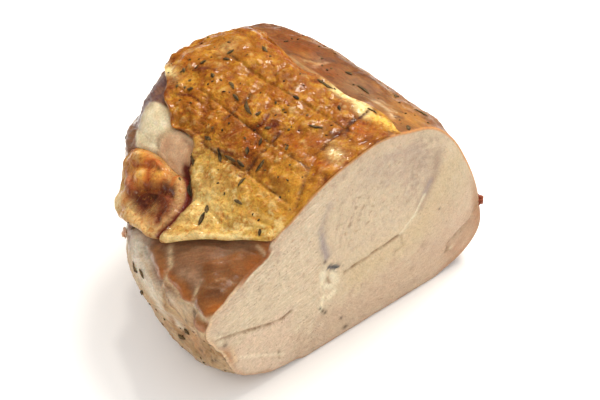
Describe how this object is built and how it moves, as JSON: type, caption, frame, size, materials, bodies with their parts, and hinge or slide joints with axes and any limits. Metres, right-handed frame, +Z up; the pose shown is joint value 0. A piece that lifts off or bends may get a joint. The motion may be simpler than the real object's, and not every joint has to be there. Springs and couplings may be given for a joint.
{
  "type": "roast pork neck",
  "caption": "Piece of boned roast pork neck, one end cut flat to show the muscles, with a browned fat cap, a torn and curled fat edge and rosemary needles; rests on its flattened underside",
  "frame": {"origin": "middle of the bounding box's underside, on the flattened underside the roast rests on", "axes": "+Z up; the flat knife cut faces -Y; +X runs along the cut's width, to the right for someone who looks at the cut"},
  "size_m": [0.1448, 0.1072, 0.091],
  "materials": {
    "roast_pork_neck": null
  },
  "bodies": {
    "root": {"roast_pork_neck": "roast_pork_neck"}
  },
  "joints": []
}
